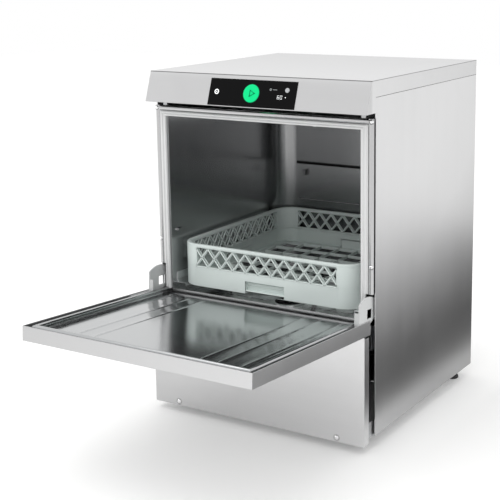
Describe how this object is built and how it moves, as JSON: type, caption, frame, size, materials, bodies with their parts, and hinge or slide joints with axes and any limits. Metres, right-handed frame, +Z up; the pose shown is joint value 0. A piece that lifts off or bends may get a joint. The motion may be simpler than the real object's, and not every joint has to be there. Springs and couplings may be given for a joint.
{
  "type": "glass washer machine",
  "caption": "Undercounter glass washer with a drop-down door on a pin hinge, a sliding square rack, spray arms, pumps and push buttons.",
  "frame": {"origin": "on the floor, under the middle of the cabinet's outline", "axes": "+X to the right seen from the front, -Y towards the user, +Z up"},
  "size_m": [0.6, 1.1012, 0.85],
  "materials": {
    "steel_brushed": "brushed stainless steel sheet, satin",
    "steel_bright": "bright stainless steel",
    "steel_mirror": "polished stainless steel",
    "glass_black": "black control glass, glossy",
    "button_green": "lit green button, satin",
    "button_white": "white button, satin",
    "seal_rubber": "light grey silicone",
    "foot_rubber": "black rubber",
    "rack_plastic": "moulded polypropylene, pale green-grey",
    "plastic_dark": "moulded dark plastic",
    "plastic_light": "moulded light plastic",
    "hose_rubber": "black rubber hose",
    "motor_paint": "blue-grey paint, semi gloss",
    "brass": "plain brass",
    "copper": "plain copper",
    "dosing_red": "red plastic",
    "dosing_blue": "blue plastic",
    "lever_cast": "light grey cast aluminium",
    "spring_steel": "zinc-plated spring steel"
  },
  "bodies": {
    "cabinet": {"base_frame": "steel_brushed", "corner_posts": "steel_brushed", "feet": "foot_rubber", "side_panel_left": "steel_brushed", "side_panel_right": "steel_brushed", "rear_panel": "steel_brushed", "top_cover": "steel_brushed", "control_glass": "glass_black", "display_module": "plastic_dark", "control_board": "plastic_dark", "lower_front_panel": "steel_brushed", "panel_screws": "steel_bright", "front_frame": "steel_mirror", "frame_screws": "steel_bright", "door_seal": "seal_rubber", "door_switch": "plastic_dark", "wash_chamber": "steel_mirror", "rear_baffle": "steel_mirror", "rack_rail_left": "steel_bright", "rack_rail_right": "steel_bright", "wash_tank": "steel_mirror", "tank_strainer": "steel_bright", "filter_basket": "steel_bright", "sump": "plastic_dark", "tank_heater": "steel_bright", "lower_spindle": "steel_bright", "upper_spindle": "steel_bright", "wash_pump_volute": "plastic_dark", "wash_pump_motor": "motor_paint", "wash_riser": "plastic_dark", "drain_pump": "plastic_dark", "drain_hose": "hose_rubber", "drain_outlet": "plastic_dark", "boiler": "steel_bright", "boiler_heater": "brass", "rinse_pipe": "copper", "inlet_valve": "brass", "detergent_pump": "dosing_red", "rinse_aid_pump": "dosing_blue", "terminal_block": "plastic_light", "cable_gland": "plastic_dark", "hinge_brackets": "spring_steel", "hinge_pins": "steel_bright", "door_springs": "spring_steel"},
    "door": {"door_skin": "steel_brushed", "door_liner": "steel_bright", "door_lever_left": "lever_cast", "door_lever_right": "lever_cast", "door_magnet": "plastic_dark"},
    "rack": {"rack": "rack_plastic"},
    "start_button": {"start_button": "button_green"},
    "power_button": {"power_button": "button_white"},
    "menu_button": {"menu_button": "button_white"},
    "lower_wash_arm": {"lower_wash_arm": "steel_bright"},
    "lower_rinse_arm": {"lower_rinse_arm": "steel_bright"},
    "upper_wash_arm": {"upper_wash_arm": "steel_bright"},
    "upper_rinse_arm": {"upper_rinse_arm": "steel_bright"},
    "pump_rotor": {"pump_impeller": "plastic_light"}
  },
  "joints": [
    {"name": "door_hinge", "type": "hinge", "parent": "cabinet", "child": "door", "pos_m": [0, -0.289, 0.296], "axis": [1, 0, 0], "range_deg": [-86.3, 0], "deforming": ["door_springs"]},
    {"name": "rack_slide", "type": "slide", "parent": "cabinet", "child": "rack", "axis": [0, -1, 0], "range_m": [0, 0.225]},
    {"name": "start_press", "type": "slide", "parent": "cabinet", "child": "start_button", "axis": [0, 0.9447, -0.328], "range_m": [0, 0.0015], "stiffness_N_per_m": 600},
    {"name": "power_press", "type": "slide", "parent": "cabinet", "child": "power_button", "axis": [0, 0.9447, -0.328], "range_m": [0, 0.0015], "stiffness_N_per_m": 600},
    {"name": "menu_press", "type": "slide", "parent": "cabinet", "child": "menu_button", "axis": [0, 0.9447, -0.328], "range_m": [0, 0.0015], "stiffness_N_per_m": 600},
    {"name": "lower_wash_spin", "type": "hinge", "parent": "cabinet", "child": "lower_wash_arm", "pos_m": [0, -0.0055, 0.29], "axis": [0, 0, 1], "continuous": true},
    {"name": "lower_rinse_spin", "type": "hinge", "parent": "cabinet", "child": "lower_rinse_arm", "pos_m": [0, -0.0055, 0.306], "axis": [0, 0, 1], "continuous": true},
    {"name": "upper_wash_spin", "type": "hinge", "parent": "cabinet", "child": "upper_wash_arm", "pos_m": [0, -0.0055, 0.722], "axis": [0, 0, 1], "continuous": true},
    {"name": "upper_rinse_spin", "type": "hinge", "parent": "cabinet", "child": "upper_rinse_arm", "pos_m": [0, -0.0055, 0.706], "axis": [0, 0, 1], "continuous": true},
    {"name": "pump_spin", "type": "hinge", "parent": "cabinet", "child": "pump_rotor", "pos_m": [0, -0.065, 0.115], "axis": [0, 1, 0], "continuous": true}
  ]
}
